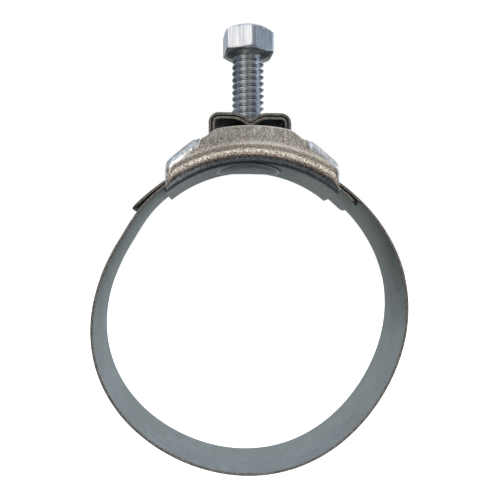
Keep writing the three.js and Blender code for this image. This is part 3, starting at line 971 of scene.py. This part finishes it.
# Round soft panels over it, each over the ones before: azimuth, elevation, half width and softness
# in degrees, tint and strength.
PANELS = (
    (10, 18, 6, 4, (1.0, 0.95, 0.88), 1.25),
    (0, 84, 36, 16, (0.78, 0.87, 1.0), 1.2),
    (-80, 60, 24, 12, (0.76, 0.87, 1.0), 1.2),
    (78, 20, 26, 14, (0.30, 0.33, 0.39), 1.0),
    (108, 4, 27, 6, (0.80, 0.90, 1.0), 1.5),
    (-110, 6, 14, 8, (0.80, 0.90, 1.0), 1.2),
    (180, -6, 17, 5, (0.49, 0.53, 0.54), 1.0),
    (165, -2, 15, 8, (0.52, 0.58, 0.60), 1.0),
    (23, 3, 13, 8, (0.75, 0.71, 0.64), 0.9),
    (-16, -5, 9, 5, (0.09, 0.065, 0.07), 1.0),
    (95, -44, 12, 6, (0.80, 0.90, 1.0), 1.7),
    (-9, 26, 6, 5, (0.22, 0.205, 0.19), 1.0),
    (17, 27, 5, 4, (0.90, 0.86, 0.80), 1.2),
    (5, -16, 7, 6, (1.0, 0.94, 0.86), 2.1),
    (27, -30, 10, 5, (0.11, 0.075, 0.07), 1.0),
    (-18, -31, 10, 5, (0.11, 0.075, 0.07), 1.0),
    (110, 50, 18, 12, (0.78, 0.84, 0.92), 1.3),
    (-172, -30, 8, 6, (0.50, 0.54, 0.54), 1.0),
    (-10, 7, 5, 3, (0.52, 0.48, 0.42), 1.0),
    (-38, 48, 10, 8, (0.78, 0.87, 0.98), 1.2),
    (44, 46, 10, 8, (0.76, 0.83, 0.92), 1.0),
)


def world_light():
    """White where the camera looks past the clamp, and soft panels of light for the steel."""
    world = bpy.data.worlds.new("studio")
    bpy.context.scene.world = world
    world.use_nodes = True
    nodes, link = world.node_tree.nodes, world.node_tree.links.new

    def map_range(value, low, high, interpolation):
        node = nodes.new("ShaderNodeMapRange")
        node.interpolation_type = interpolation
        node.inputs["From Min"].default_value, node.inputs["From Max"].default_value = low, high
        link(value, node.inputs["Value"])
        return node.outputs["Result"]

    def mix(factor, first):
        node = nodes.new("ShaderNodeMix")
        node.data_type = "RGBA"
        link(factor, node.inputs[0])
        link(first, node.inputs[6])
        return node

    direction = nodes.new("ShaderNodeTexCoord").outputs["Generated"]
    split = nodes.new("ShaderNodeSeparateXYZ")
    link(direction, split.inputs["Vector"])
    back = map_range(split.outputs["Y"], -1, 1, "LINEAR")
    halves = []
    for stops in (BELOW, ABOVE):
        colors = nodes.new("ShaderNodeValToRGB")
        elements = colors.color_ramp.elements
        while len(elements) < len(stops):
            elements.new(0.5)
        for element, (place, tint) in zip(elements, stops):
            element.position, element.color = (place + 1) / 2, (*tint, 1)
        link(back, colors.inputs["Fac"])
        halves.append(colors.outputs["Color"])
    join = mix(map_range(split.outputs["Z"], *HORIZON, "SMOOTHSTEP"), halves[0])
    link(halves[1], join.inputs[7])
    color = join.outputs[2]
    for azimuth, elevation, half, soft, tint, strength in PANELS:
        dot = nodes.new("ShaderNodeVectorMath")
        dot.operation = "DOT_PRODUCT"
        link(direction, dot.inputs[0])
        dot.inputs[1].default_value = towards(azimuth, elevation)
        edge = math.cos(math.radians(half + soft))
        full = math.cos(math.radians(max(half - soft, 0)))
        panel = mix(map_range(dot.outputs["Value"], edge, full, "SMOOTHSTEP"), color)
        panel.inputs[7].default_value = (*(strength * c for c in tint), 1)
        color = panel.outputs[2]
    surround = nodes["Background"]
    link(color, surround.inputs["Color"])
    backdrop = nodes.new("ShaderNodeBackground")
    backdrop.inputs["Color"].default_value = (1, 1, 1, 1)
    choose = nodes.new("ShaderNodeMixShader")
    link(nodes.new("ShaderNodeLightPath").outputs["Is Camera Ray"], choose.inputs["Fac"])
    link(surround.outputs["Background"], choose.inputs[1])
    link(backdrop.outputs["Background"], choose.inputs[2])
    link(choose.outputs["Shader"], nodes["World Output"].inputs["Surface"])


def camera():
    data = bpy.data.cameras.new("camera")
    data.sensor_width, data.lens = CAMERA_SENSOR, CAMERA_LENS
    data.clip_start, data.clip_end = 0.005, 20
    obj = bpy.data.objects.new("camera", data)
    bpy.context.scene.collection.objects.link(obj)
    level = math.cos(CAMERA_PITCH)
    ahead = Vector((math.sin(CAMERA_YAW) * level, math.cos(CAMERA_YAW) * level, math.sin(CAMERA_PITCH)))
    obj.location = Vector(CAMERA_PLACE) * MM
    obj.rotation_euler = ahead.to_track_quat("-Z", "Y").to_euler()
    bpy.context.scene.camera = obj


def softbox(name, azimuth, elevation, distance, size, watts, color):
    """A square light that faces the middle of the saddle."""
    light = bpy.data.lights.new(name, "AREA")
    light.shape, light.size = "SQUARE", size * MM
    light.energy, light.color = watts, color
    obj = bpy.data.objects.new(name, light)
    direction = towards(azimuth, elevation)
    obj.location = Vector((0, 0, SADDLE_HEIGHT)) * MM + direction * distance * MM
    obj.rotation_euler = (-direction).to_track_quat("-Z", "Y").to_euler()
    obj.visible_camera = False
    bpy.context.scene.collection.objects.link(obj)


white_floor()
world_light()
softbox("key", azimuth=-43, elevation=23, distance=450, size=300, watts=0.42, color=(1.0, 0.95, 0.89))
camera()
bpy.context.scene.view_settings.view_transform = "Standard"
